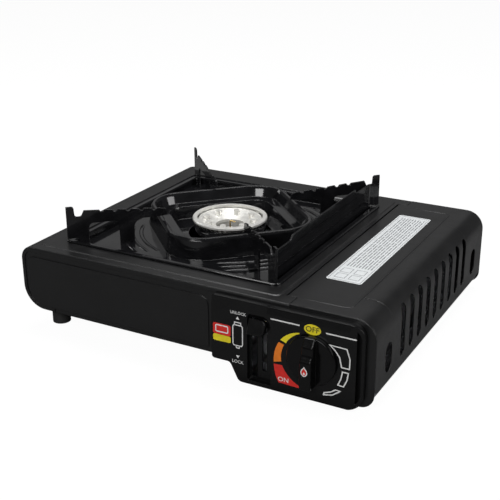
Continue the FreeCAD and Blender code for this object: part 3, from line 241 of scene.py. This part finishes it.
def metal(name, color, rough, stretch=EVEN, grain=0.0008, strength=0.15):
    """Metal with an even grain, or one drawn out along an axis as by brushing."""
    n = Nodes(name)
    n.set(metal=1.0)
    streak = n.noise(size=grain, detail=3, rough=0.6, stretch=stretch)
    n.tone(streak, times(color, 0.82), color)
    n.gloss(n.noise(size=0.008, detail=4), rough * 0.8, rough * 1.25)
    n.bump(streak, strength, depth=0.00006)
    return n.material


def cast_alloy(name, color, rough):
    """Matt die-cast surface, bright and finely pitted."""
    n = Nodes(name)
    n.set(metal=0.55)
    n.tone(n.noise(size=0.004, detail=5), times(color, 0.86), color)
    n.gloss(n.noise(size=0.003, detail=4), rough * 0.85, rough * 1.15)
    n.bump(n.noise(size=0.0007, detail=4), strength=0.3, depth=0.00012)
    return n.material


def matt(name, color, rough, grain=0.0012, strength=0.3):
    """Rubber, insulation, glaze or print: one tone with a fine grain."""
    n = Nodes(name)
    n.tone(n.noise(size=0.004, detail=4), times(color, 0.85), color)
    n.gloss(n.noise(size=0.003, detail=3), rough * 0.9, rough * 1.1)
    n.bump(n.noise(size=grain, detail=3), strength, depth=0.00006)
    return n.material


def label_foil(name, dark, light):
    """Silvery white label film with a faint sparkle."""
    n = Nodes(name)
    n.set(metal=0.25)
    n.tone(n.noise(size=0.0009, detail=2), dark, light)
    n.gloss(n.noise(size=0.01, detail=4), low=0.3, high=0.42)
    n.bump(n.noise(size=0.02, detail=3), strength=0.15, depth=0.0002)
    return n.material


def make_materials():
    return {
        "body": black_paint("body_paint", (0.0055, 0.0055, 0.0058), rough=0.34, grain=0.0011, strength=0.3),
        "enamel": enamel("black_enamel", (0.004, 0.004, 0.0045), (0.008, 0.008, 0.009)),
        "panel": plastic("panel_plastic", (0.003, 0.003, 0.0032), rough=0.22, specular=0.36),
        "knob": plastic("knob_plastic", (0.0014, 0.0014, 0.0016), rough=0.16, specular=0.32),
        "zinc": metal("zinc_plate", (0.6, 0.61, 0.63), rough=0.34, stretch=(1, 0.15, 1)),
        "bright": metal("bright_steel", (0.72, 0.72, 0.73), rough=0.22, stretch=(1, 1, 0.2)),
        "polished": metal("polished_steel", (0.86, 0.86, 0.86), rough=0.09, stretch=(1, 1, 0.1),
                          grain=0.0006, strength=0.05),
        "cast": cast_alloy("die_cast", (0.62, 0.61, 0.58), rough=0.42),
        "flame_ring": cast_alloy("flame_ring_alloy", (0.87, 0.86, 0.82), rough=0.34),
        "iron": metal("dark_iron", (0.1, 0.095, 0.09), rough=0.5, grain=0.001, strength=0.4),
        "brass": metal("turned_brass", (0.78, 0.57, 0.25), rough=0.24, stretch=(1, 1, 0.15)),
        "rubber": matt("foot_rubber", (0.014, 0.014, 0.014), rough=0.7),
        "insulation": matt("lead_insulation", (0.35, 0.03, 0.02), rough=0.55),
        "ceramic": matt("glazed_ceramic", (0.85, 0.84, 0.8), rough=0.25, grain=0.002, strength=0.1),
        "white_print": matt("white_print", (0.85, 0.85, 0.84), rough=0.5),
        "yellow_print": matt("yellow_print", (0.86, 0.72, 0.02), rough=0.5),
        "orange_print": matt("orange_print", (0.87, 0.22, 0.015), rough=0.5),
        "red_print": matt("red_print", (0.72, 0.025, 0.018), rough=0.5),
        "black_print": matt("black_print", (0.01, 0.01, 0.01), rough=0.5),
        "grey_print": matt("grey_print", (0.27, 0.28, 0.29), rough=0.6),
        "label": label_foil("label_foil", (0.74, 0.77, 0.78), (0.86, 0.88, 0.89)),
    }


NODE_LOOKS = {
    "body": ("top_deck", "front_panel", "rear_panel", "cartridge_cover"),
    "panel": ("control_bezel", "lever_tab", "piezo_igniter"),
    "knob": ("gas_knob",),
    "enamel": ("drip_tray", "wind_shield", "support_arm_left_front", "support_arm_left_rear",
               "support_arm_right_front", "support_arm_right_rear"),
    "zinc": ("base_pan", "bay_divider", "lever_bracket", "carriage_bar", "pusher_plate",
             "cartridge_rails", "regulator_cap", "jet_holder", "burner_bracket", "mixing_tube"),
    "bright": ("cover_hinge_pins", "lock_lever", "lever_pin", "return_spring", "spring_post",
               "locating_pin", "gas_pipe", "rear_screws"),
    "polished": ("burner_pot",),
    "cast": ("regulator_body", "burner_base"),
    "flame_ring": ("burner_head",),
    "iron": ("burner_teeth",),
    "brass": ("valve_stem", "inlet_nozzle", "gas_jet", "electrode_tip"),
    "rubber": ("foot_left_front", "foot_left_rear", "foot_right_front", "foot_right_rear", "inlet_seal"),
    "insulation": ("igniter_lead",),
    "ceramic": ("electrode",),
}


def dress_nodes(looks):
    for look, nodes in NODE_LOOKS.items():
        for node in nodes:
            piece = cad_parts[node]
            if not piece.material_slots:
                piece.data.materials.append(looks[look])
            for one in piece.material_slots:
                one.material = looks[look]


# Flat outlines

def polar(centre, radius, degrees):
    turn = math.radians(degrees)
    return centre[0] + radius * math.cos(turn), centre[1] + radius * math.sin(turn)


def arc_points(centre, radius, start, end, steps):
    return [polar(centre, radius, start + (end - start) * i / steps) for i in range(steps + 1)]


def between(first, last, steps):
    """Evenly spaced points of a straight run, without its ends."""
    first, last = Vector(first), Vector(last)
    return [tuple(first.lerp(last, i / steps)) for i in range(1, steps)]


def rounded_box(left, low, right, high, radius, steps=6):
    """Rectangle with round corners, each drawn in a number of steps."""
    x0, x1 = left + radius, right - radius
    y0, y1 = low + radius, high - radius
    points = []
    for centre, start in (((x1, y0), -90), ((x1, y1), 0), ((x0, y1), 90), ((x0, y0), 180)):
        points += arc_points(centre, radius, start, start + 90, steps)
    return points


def ellipse(centre, half_width, half_height, count=40):
    return [(centre[0] + half_width * math.cos(2 * math.pi * i / count),
             centre[1] + half_height * math.sin(2 * math.pi * i / count)) for i in range(count)]


def ring_zone(centre, inner, outer, start, end, steps=16):
    """Part of a ring between two angles; its radii may change along it."""
    points = []
    for radii, order in ((outer, range(steps + 1)), (inner, range(steps, -1, -1))):
        for i in order:
            share = i / steps
            radius = radii[0] + (radii[1] - radii[0]) * share
            points.append(polar(centre, radius, start + (end - start) * share))
    return points


def mirrored(axis, half):
    """Outline with both sides alike, from the half widths and heights of its left side."""
    left = [(axis - width, height) for width, height in half]
    return left + [(axis + width, height) for width, height in reversed(half)]


def stroke(points, width, closed=False):
    """Quads that follow a line with mitred corners."""
    points = [Vector(point) for point in points]
    count = len(points)
    mitre_limit = 0.4
    sides = []
    for i, point in enumerate(points):
        runs = []
        if i > 0 or closed:
            runs.append((point - points[i - 1]).normalized())
        if i < count - 1 or closed:
            runs.append((points[(i + 1) % count] - point).normalized())
        normals = [Vector((-run.y, run.x)) for run in runs]
        mitre = sum(normals, Vector((0, 0))).normalized()
        reach = width / 2 / max(mitre.dot(normals[0]), mitre_limit)
        sides.append((tuple(point + mitre * reach), tuple(point - mitre * reach)))
    pairs = list(zip(sides, sides[1:]))
    if closed:
        pairs.append((sides[-1], sides[0]))
    return [[a[0], a[1], b[1], b[0]] for a, b in pairs]


# Mesh helpers

def on_front(y):
    """Places flat art on an upright face that looks to the front."""
    return lambda u, v, height: Vector((u * MM, y * MM - height * MM, v * MM))


def on_top(z):
    """Places flat art on a level face."""
    return lambda u, v, height: Vector((u * MM, v * MM, z * MM + height * MM))


def new_piece(name, made, material, body):
    """Object from a finished bmesh, riding on a body."""
    mesh = bpy.data.meshes.new(name)
    made.to_mesh(mesh)
    made.free()
    piece = bpy.data.objects.new(name, mesh)
    scene.collection.objects.link(piece)
    piece.data.materials.append(material)
    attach(piece, body)
    return piece


def plate(name, outlines, place, thickness, material, body):
    """Prisms from flat outlines; place maps (u, v, height) to the frame."""
    made = bmesh.new()
    for outline in outlines:
        base = [made.verts.new(place(u, v, 0)) for u, v in outline]
        top = [made.verts.new(place(u, v, thickness)) for u, v in outline]
        made.faces.new(top)
        made.faces.new(base[::-1])
        for i in range(len(outline)):
            made.faces.new((base[i - 1], base[i], top[i], top[i - 1]))
    bmesh.ops.recalc_face_normals(made, faces=made.faces)
    return new_piece(name, made, material, body)


def beads(name, paths, width, height, floor, material, body):
    """Low pressed ridges, round in section, that fade out at both ends of each path."""
    sides = 6
    fade = 6
    sink = 0.05
    made = bmesh.new()
    for path in paths:
        points = [Vector(point) for point in path]
        last = len(points) - 1
        rows = []
        for i, point in enumerate(points):
            way = (points[min(i + 1, last)] - points[max(i - 1, 0)]).normalized()
            aside = Vector((-way.y, way.x))
            share = i / last
            rise = height * min(1, fade * share, fade * (1 - share))
            row = []
            for k in range(sides + 1):
                across = math.pi * k / sides
                at = point + aside * (width / 2 * math.cos(across))
                z = floor - sink + (sink + rise) * math.sin(across)
                row.append(made.verts.new(Vector((at.x * MM, at.y * MM, z * MM))))
            rows.append(row)
        for a, b in zip(rows, rows[1:]):
            for k in range(sides):
                made.faces.new((a[k], b[k], b[k + 1], a[k + 1]))
    bmesh.ops.recalc_face_normals(made, faces=made.faces)
    for face in made.faces:
        face.smooth = True
    return new_piece(name, made, material, body)


# Printing on the control panel

# Letters stand this far ahead of the panel, and further where a print lies under them.
LETTER_LIFT = 0.07
LETTER_OVER_PRINT = 0.11
LETTER_HALF_DEPTH = 0.04
# Font size for a capital one unit high.
FONT_PER_CAPITAL = 1.4
LETTER_STEPS = 3


def print_word(name, text, centre, capital, material, stretch, weight, lift=LETTER_LIFT):
    """Upright lettering; weight thickens its strokes."""
    curve = bpy.data.curves.new(name, "FONT")
    curve.body = text
    curve.align_x = "CENTER"
    curve.align_y = "CENTER"
    curve.size = capital * FONT_PER_CAPITAL * MM
    curve.extrude = LETTER_HALF_DEPTH * MM
    curve.offset = weight * MM
    curve.resolution_u = LETTER_STEPS
    piece = bpy.data.objects.new(name, curve)
    scene.collection.objects.link(piece)
    piece.location = (centre[0] * MM, (PANEL_Y - lift) * MM, centre[1] * MM)
    piece.rotation_euler = (math.pi / 2, 0, 0)
    piece.scale = (stretch, 1, 1)
    piece.data.materials.append(material)
    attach(piece, CHASSIS)


def print_art(name, outlines, material, layer=1):
    plate(name, outlines, on_front(PANEL_Y), PRINT * layer, material, CHASSIS)


def by_knob(*offsets):
    """Points of the panel given from the knob's axis."""
    return [(KNOB_CENTRE[0] + across, KNOB_CENTRE[1] + up) for across, up in offsets]


def gas_marks(looks):
    """OFF plate with its two lines, flow zones and ON, all round the knob."""
    line_width, border_width = 1.1, 1.0
    oval_at, off_at, on_at = by_knob((-0.2, 25.6), (-0.2, 25.5), (-24.7, -24.3))
    left_line = by_knob((-36.4, 26.8), (-11.3, 26.8))
    right_line = by_knob((11.1, 25.3), (36.3, 25.3))
    oval = ellipse(oval_at, half_width=7.2, half_height=4.4)
    print_art("print_off_oval", [oval], looks["yellow_print"])
    print_word("print_off_word", "OFF", off_at, 4.6, looks["black_print"],
               stretch=1.05, weight=0.05, lift=LETTER_OVER_PRINT)
    print_art("print_lines", stroke(left_line, line_width) + stroke(right_line, line_width),
              looks["white_print"])

    yellow = ring_zone(KNOB_CENTRE, inner=(22.4, 24.4), outer=(23.3, 29.6), start=119, end=159)
    orange = ring_zone(KNOB_CENTRE, inner=(25.3, 28.0), outer=(30.2, 34.8), start=164, end=197)
    red_border = by_knob((-33.3, -11.8), (-32.8, -16.7), (-31.4, -22.2), (-29.0, -27.5), (-7.8, -28.3))
    red = red_border + arc_points(KNOB_CENTRE, radius=28.4, start=253, end=203.8, steps=12)
    print_art("print_yellow_zone", [yellow], looks["yellow_print"])
    print_art("print_orange_zone", [orange], looks["orange_print"])
    print_art("print_red_zone", [red], looks["red_print"])
    print_word("print_on_word", "ON", on_at, 4.0, looks["white_print"],
               stretch=1.1, weight=0.03, lift=LETTER_OVER_PRINT)

    upper = by_knob((14.7, 16.2), (28.7, 15.8), (31.5, 7.8), (31.3, -0.6), (24.7, -0.6), (23.1, 7.3),
                    (19.3, 12.3))
    middle = by_knob((25.7, -4.2), (30.5, -4.3), (29.6, -10.7), (26.9, -16.9), (22.2, -16.5),
                     (24.5, -10.7))
    lower = by_knob((20.4, -21.3), (24.2, -21.6), (17.8, -26.5), (10.4, -28.1), (10.9, -26.1),
                    (16.1, -24.3))
    borders = []
    for zone in (upper, middle, lower):
        borders += stroke(zone, border_width, closed=True)
    print_art("print_zone_outlines", borders, looks["white_print"])


def lever_marks(looks):
    """Colour tiles, cartridge sign and arrows beside the lock lever."""
    white = looks["white_print"]
    left, right = 33.9, 50.3
    yellow_low, yellow_high = 37.2, 43.0
    red_low, red_high = 43.2, 53.0
    inset, frame_width = 2.6, 1.0
    red = rounded_box(left, red_low, right, red_high, radius=1.6)
    yellow = rounded_box(left, yellow_low, right, yellow_high, radius=1.4)
    window = rounded_box(left + inset, red_low + 2.4, right - inset, red_high - 1.6, radius=0.8, steps=3)
    print_art("print_tile_red", [red], looks["red_print"])
    print_art("print_tile_yellow", [yellow], looks["yellow_print"])
    print_art("print_tile_frame", stroke(window, frame_width, closed=True), white, layer=2)

    axis = 56.8
    line_width = 0.9
    foot, shoulder = 36.8, 55.0
    can = mirrored(axis, [(3.6, foot), (4.4, foot + 1.6), (4.4, shoulder - 1.4), (3.4, shoulder)])
    neck = mirrored(axis, [(1.8, foot), (1.2, foot - 2.2)])
    cap = mirrored(axis, [(2.8, shoulder), (2.8, shoulder + 2.4)])
    sign = stroke(can, line_width, closed=True) + stroke(neck, line_width) + stroke(cap, line_width)
    print_art("print_cartridge", sign, white)

    half, tip = 1.6, 2.6
    arrows = [[(axis - half, base), (axis + half, base), (axis, base + rise)]
              for base, rise in ((60.2, tip), (28.0, -tip))]
    print_art("print_arrows", arrows, white)
    print_word("print_unlock", "UNLOCK", (axis + 0.4, 65.6), 2.6, white, stretch=0.95, weight=0.02)
    print_word("print_lock", "LOCK", (axis - 0.2, 22.2), 2.8, white, stretch=1.0, weight=0.02)


# Knob

# The knob is drawn back towards this plane, so that its print stays within the part.
KNOB_REAR_Y = -133.0
KNOB_DEPTH_SCALE = 0.992
GRIP_Y = KNOB_REAR_Y + (knob_low.y - KNOB_REAR_Y) * KNOB_DEPTH_SCALE
FLAME_GAP = 0.004
FLAME_CENTRE = (KNOB_CENTRE[0] - 0.4, KNOB_CENTRE[1] - 4.4)


def flame(scale, lift):
    """Small flame outline, point up."""
    half = [(0, 4.6), (0.9, 3.2), (2.3, 1.6), (2.9, -0.4), (2.4, -2.4), (1.2, -3.7), (0, -4.1)]
    full = half + [(-x, y) for x, y in reversed(half[1:-1])]
    return [(FLAME_CENTRE[0] + x * scale, FLAME_CENTRE[1] + lift + y * scale) for x, y in full]


def dressed_knob(looks):
    """Copy of the knob, drawn back a hair, with a flame printed on its grip."""
    made = bmesh.new()
    made.from_mesh(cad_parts["gas_knob"].data)
    rear = KNOB_REAR_Y * MM
    for vert in made.verts:
        vert.co.y = rear + (vert.co.y - rear) * KNOB_DEPTH_SCALE
    knob = new_piece("knob_body", made, looks["knob"], KNOB)
    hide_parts("gas_knob")
    face = on_front(GRIP_Y - FLAME_GAP)
    plate("print_flame_edge", [flame(1.0, 0)], face, PRINT * 0.5, looks["white_print"], KNOB)
    plate("print_flame", [flame(0.74, -0.2)], face, PRINT, looks["red_print"], KNOB)
    plate("print_flame_core", [flame(0.3, -1.4)], face, PRINT * 1.5, looks["white_print"], KNOB)


# Cartridge cover

LABEL_THICKNESS = 0.12
LABEL_PRINT = 0.04


def text_bars(left, near, far):
    """Rows of bars of uneven length in place of text."""
    rows, pitch, bar, gap = 9, 2.7, 1.1, 1.4
    shortest, spread, shortest_end = 5, 7, 1
    place_phase, row_phase = 12.9, 7.7
    bars = []
    for row in range(rows):
        u = left + row * pitch
        v = near
        while v < far - shortest_end:
            length = shortest + spread * abs(math.sin(place_phase * v + row_phase * row))
            end = min(v + length, far)
            bars.append([(u, v), (u + bar, v), (u + bar, end), (u, end)])
            v = end + gap
    return bars


def cover_label(looks):
    """Bare silver-white label with plain grey bars in place of print."""
    left, right, near, far = 101.6, 133.0, -68.0, 106.0
    margin, border, square, square_line = 1.6, 0.5, 9, 0.6
    first_column, second_column = left + 5, left + 17.5
    sheet = rounded_box(left, near, right, far, radius=2.0)
    plate("cover_label", [sheet], on_top(COVER_TOP), LABEL_THICKNESS, looks["label"], COVER)

    edge = [(left + margin, near + margin), (right - margin, near + margin),
            (right - margin, far - margin), (left + margin, far - margin)]
    marks = stroke(edge, border, closed=True) + text_bars(first_column, near + 32, far - 7)
    for v in (near + 6, near + 18):
        for u in (first_column, second_column):
            corners = [(u, v), (u + square, v), (u + square, v + square), (u, v + square)]
            marks += stroke(corners, square_line, closed=True)
    over = on_top(COVER_TOP + LABEL_THICKNESS)
    plate("cover_label_bars", marks, over, LABEL_PRINT, looks["grey_print"], COVER)


def cover_ridge(looks):
    """Pressed line round the raised field of the cover."""
    near, far, left, right, bend = -113.0, 130.0, 99.0, 144.0, 6.0
    inner = right - bend
    across_steps, along_steps, bend_steps = 12, 24, 6
    line = [(left, near)]
    line += between((left, near), (inner, near), across_steps)
    line += arc_points((inner, near + bend), bend, -90, 0, bend_steps)
    line += between((right, near + bend), (right, far - bend), along_steps)
    line += arc_points((inner, far - bend), bend, 0, 90, bend_steps)
    line += between((inner, far), (left, far), across_steps)
    line += [(left, far)]
    ridge = beads("cover_ridge", [line], width=1.8, height=0.28, floor=COVER_TOP,
                  material=looks["body"], body=COVER)


# Tray ribs and flame slits

def tray_ribs(looks):
    """Three pressed ribs in each corner of the tray."""
    first_radius, pitch = 84, 8
    half_sweep, shorter = 25, 3
    steps = 24
    paths = []
    for corner in (45, 135, 225, 315):
        for i in range(3):
            sweep = half_sweep - shorter * i
            radius = first_radius + pitch * i
            paths.append(arc_points(TRAY_CENTRE, radius, corner - sweep, corner + sweep, steps))
    ribs = beads("tray_ribs", paths, width=3.8, height=0.9, floor=TRAY_FLOOR,
                 material=looks["enamel"], body=SUPPORT)


def flame_slits(looks):
    """Fine teeth between the burner's rim and its ring."""
    count = 44
    inner, inner_half = 31.9, 0.9
    outer, outer_half = 34.0, 0.7
    rise = 0.05
    centre = Vector(TRAY_CENTRE)
    teeth = []
    for i in range(count):
        turn = 2 * math.pi * i / count
        along = Vector((math.cos(turn), math.sin(turn)))
        aside = Vector((-along.y, along.x))
        corners = ((inner, -inner_half), (inner, inner_half), (outer, outer_half), (outer, -outer_half))
        teeth.append([tuple(centre + along * radius + aside * side) for radius, side in corners])
    foot = teeth_low.z + rise
    slits = plate("flame_slits", teeth, on_top(foot), teeth_high.z - foot, looks["iron"], CHASSIS)


# Floor and light

WHITE = (1, 1, 1, 1)
FLOOR_REACH = 6.0
# The floor and the surround are near white to the camera and darker where they light the stove.
FLOOR_SEEN = (0.88, 0.88, 0.88)
FLOOR_UNSEEN = (0.15, 0.15, 0.15)
FLOOR_GLOW = 1.03
FLOOR_GLOW_SHARE = 0.93
SURROUND_SEEN = 1.0
SURROUND_UNSEEN = 0.08


def floor_material():
    n = Nodes("pale_floor")
    n.set(rough=0.8)
    seen = n.add("ShaderNodeLightPath").outputs["Is Camera Ray"]
    n.link(n.blend(seen, FLOOR_UNSEEN, FLOOR_SEEN), n.shader.inputs["Base Color"])
    glow = n.add("ShaderNodeEmission", Strength=FLOOR_GLOW)
    share = n.add("ShaderNodeMath", operation="MULTIPLY")
    share.inputs[1].default_value = FLOOR_GLOW_SHARE
    n.link(seen, share.inputs[0])
    mix = n.add("ShaderNodeMixShader")
    n.link(share.outputs[0], mix.inputs[0])
    n.link(n.shader.outputs[0], mix.inputs[1])
    n.link(glow.outputs[0], mix.inputs[2])
    n.link(mix.outputs[0], n.output.inputs["Surface"])
    return n.material


def make_floor():
    mesh = bpy.data.meshes.new("floor")
    corners = [(x * FLOOR_REACH, y * FLOOR_REACH, 0) for x, y in ((-1, -1), (1, -1), (1, 1), (-1, 1))]
    mesh.from_pydata(corners, [], [(0, 1, 2, 3)])
    floor = bpy.data.objects.new("floor", mesh)
    floor.data.materials.append(floor_material())
    scene.collection.objects.link(floor)


def make_world():
    """Plain studio surround."""
    world = bpy.data.worlds.new("studio")
    world.use_nodes = True
    scene.world = world
    tree = world.node_tree
    unseen = tree.nodes["Background"]
    seen = tree.nodes.new("ShaderNodeBackground")
    for node, strength in ((unseen, SURROUND_UNSEEN), (seen, SURROUND_SEEN)):
        node.inputs["Color"].default_value = WHITE
        node.inputs["Strength"].default_value = strength
    path = tree.nodes.new("ShaderNodeLightPath")
    mix = tree.nodes.new("ShaderNodeMixShader")
    tree.links.new(path.outputs["Is Camera Ray"], mix.inputs[0])
    tree.links.new(unseen.outputs[0], mix.inputs[1])
    tree.links.new(seen.outputs[0], mix.inputs[2])
    tree.links.new(mix.outputs[0], tree.nodes["World Output"].inputs["Surface"])


def lamp(name, at, aim, size, power):
    """Soft rectangular lamp turned towards a point."""
    data = bpy.data.lights.new(name, "AREA")
    data.shape = "RECTANGLE"
    data.size, data.size_y = size
    data.energy = power
    one = bpy.data.objects.new(name, data)
    one.location = at
    one.rotation_mode = "QUATERNION"
    one.rotation_quaternion = (Vector(aim) - Vector(at)).to_track_quat("-Z", "Y")
    scene.collection.objects.link(one)


def make_lights():
    lamp("top_softbox", at=(-0.1, 0.3, 1.5), aim=(0, 0, 0.05), size=(1.2, 0.7), power=17)
    lamp("back_softbox", at=(-0.9, 1.7, 0.95), aim=(0, 0, 0.08), size=(2.4, 0.7), power=1.2)
    lamp("right_softbox", at=(1.6, 0.3, 0.7), aim=(0.1, 0, 0.05), size=(0.9, 0.8), power=14)
    lamp("left_strip", at=(-1.5, 0.1, 0.9), aim=(0, 0, 0.05), size=(0.2, 1.2), power=3)
    lamp("front_fill", at=(0.2, -1.9, 1.2), aim=(0, 0, 0.05), size=(1.2, 0.7), power=27)


def main():
    make_camera()
    make_world()
    make_lights()
    make_floor()
    looks = make_materials()
    dress_nodes(looks)
    gas_marks(looks)
    lever_marks(looks)
    dressed_knob(looks)
    cover_label(looks)
    tray_ribs(looks)
    cover_ridge(looks)
    flame_slits(looks)


main()
